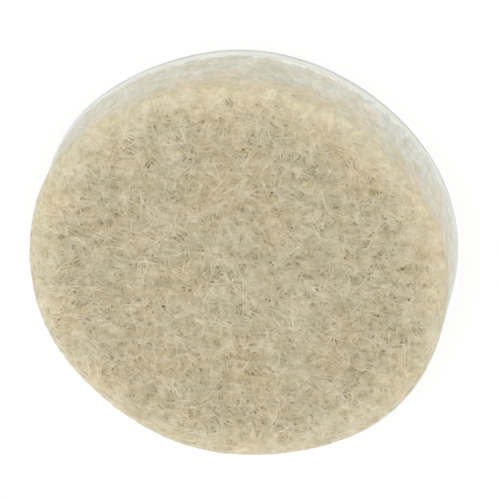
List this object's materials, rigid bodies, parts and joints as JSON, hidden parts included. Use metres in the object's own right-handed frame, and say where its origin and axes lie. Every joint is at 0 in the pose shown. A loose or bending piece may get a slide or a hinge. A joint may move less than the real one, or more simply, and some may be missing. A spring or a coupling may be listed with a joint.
{
  "type": "adhesive felt floor protector pad",
  "caption": "Round self-adhesive felt pad for a furniture foot, with a soft rounded wearing face, an adhesive layer and a release liner on its back.",
  "frame": {"origin": "centre of the release liner's underside, the face that goes against the furniture once the liner is peeled", "axes": "+Z out of the wearing face, along the pad's thickness and away from the furniture; X and Y lie in the plane of the pad"},
  "size_m": [0.0249, 0.025, 0.005],
  "materials": {
    "felt": "matte",
    "adhesive": "satin",
    "liner": "satin"
  },
  "bodies": {
    "root": {"felt_disc": "felt", "adhesive_layer": "adhesive", "release_liner": "liner"}
  },
  "joints": []
}
